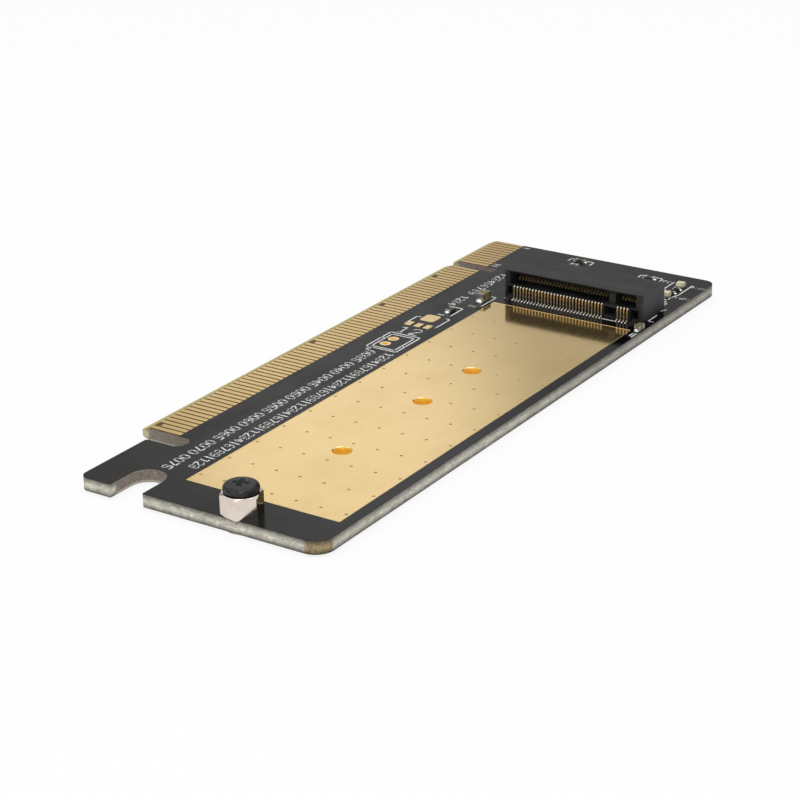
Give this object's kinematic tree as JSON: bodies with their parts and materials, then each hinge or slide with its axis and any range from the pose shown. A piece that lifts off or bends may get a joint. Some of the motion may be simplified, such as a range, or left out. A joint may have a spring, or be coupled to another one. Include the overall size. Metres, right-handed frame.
{
  "type": "nvme adapter card",
  "caption": "Flat circuit card that carries one slim solid state drive, with a gold edge connector, a keyed drive socket, a bare gold field and a screw standoff.",
  "frame": {"origin": "on the finger edge, at the middle of the key notch and at half the board's thickness", "axes": "+X along the fingers towards the hook end, +Y from the finger edge to the plain long edge, +Z out of the face that carries the drive socket"},
  "size_m": [0.0998, 0.0381, 0.0061],
  "materials": {
    "bare_laminate": "sawn glass fibre edge, satin",
    "solder_mask": "dark grey lacquer, semi gloss",
    "gold_plate": "thin gold over nickel, smooth",
    "moulded_black": "moulded, satin",
    "contact_gold": "plated spring strip",
    "tinned_metal": "soldered tin",
    "nickel_plate": "plated, bright",
    "black_steel": "black oxide, satin",
    "brown_ceramic": "fired ceramic",
    "dark_ceramic": "glazed ceramic",
    "lamp_white": "moulded",
    "lamp_lens": "clear cast resin over a pale chip"
  },
  "bodies": {
    "root": {"board_laminate": "bare_laminate", "solder_mask_top": "solder_mask", "solder_mask_bottom": "solder_mask", "edge_fingers_front": "gold_plate", "edge_fingers_back": "gold_plate", "ground_field": "gold_plate", "screw_hole_barrels": "gold_plate", "header_rings": "gold_plate", "regulator_pads": "gold_plate", "socket_housing": "moulded_black", "socket_contacts_lower": "contact_gold", "socket_contacts_upper": "contact_gold", "socket_solder_nails": "tinned_metal", "standoff": "nickel_plate", "retaining_screw": "black_steel", "filter_capacitor_body": "brown_ceramic", "filter_capacitor_ends": "tinned_metal", "side_capacitor_body": "brown_ceramic", "side_capacitor_ends": "tinned_metal", "pull_resistor_body": "dark_ceramic", "pull_resistor_ends": "tinned_metal", "back_resistor_body": "dark_ceramic", "back_resistor_ends": "tinned_metal", "series_resistor_body": "dark_ceramic", "series_resistor_ends": "tinned_metal", "power_lamp_base": "lamp_white", "power_lamp_ends": "tinned_metal", "power_lamp_lens": "lamp_lens", "busy_lamp_base": "lamp_white", "busy_lamp_ends": "tinned_metal", "busy_lamp_lens": "lamp_lens"}
  },
  "joints": []
}
